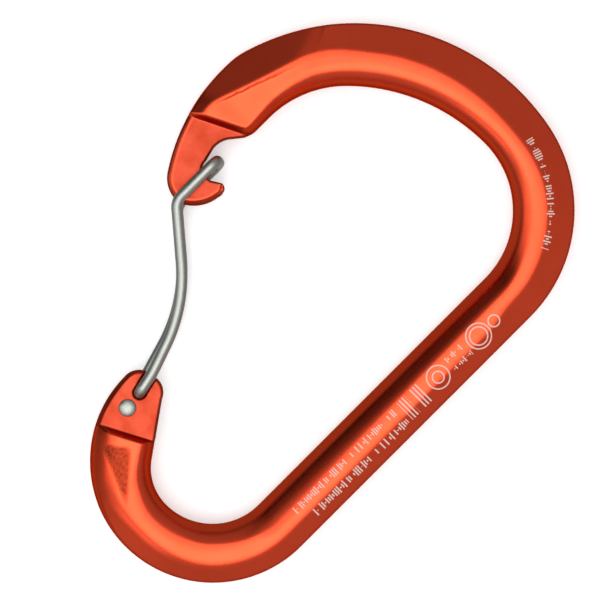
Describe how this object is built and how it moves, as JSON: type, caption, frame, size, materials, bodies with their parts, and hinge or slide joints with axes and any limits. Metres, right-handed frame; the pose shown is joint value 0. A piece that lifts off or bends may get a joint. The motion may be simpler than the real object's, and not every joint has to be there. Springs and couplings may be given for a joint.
{
  "type": "wire-gate carabiner",
  "caption": "D-shaped climbing carabiner with a bevelled anodised aluminium body and a sprung wire gate that opens into the rope eye.",
  "frame": {"origin": "centre of the bounding box in plan, at the underside that the carabiner lies on", "axes": "+Z through the thickness, +Y along the length towards the wide basket end, +X from the gate towards the spine"},
  "size_m": [0.0732, 0.112, 0.01],
  "materials": {
    "body": "satin orange-red anodising",
    "wire": "satin stainless steel"
  },
  "bodies": {
    "root": {"body": "body"},
    "gate_front": {"gate_wire_front": "wire"},
    "gate_rear": {"gate_wire_rear": "wire"}
  },
  "joints": [
    {"name": "gate_pivot", "type": "hinge", "parent": "root", "child": "gate_front", "pos_m": [-0.00485, -0.0338, 0.005], "axis": [0, 0, -1], "range_deg": [0, 38], "stiffness_Nm_per_rad": 0.33, "springref_deg": -24.06},
    {"name": "gate_twist", "type": "slide", "parent": "gate_front", "child": "gate_rear", "axis": [0.9268, 0.3754, 0], "range_m": [0, 0.00236]}
  ],
  "couplings": [
    {"joint": "gate_twist", "follows": "gate_pivot", "m_per_rad": 0.003558}
  ]
}
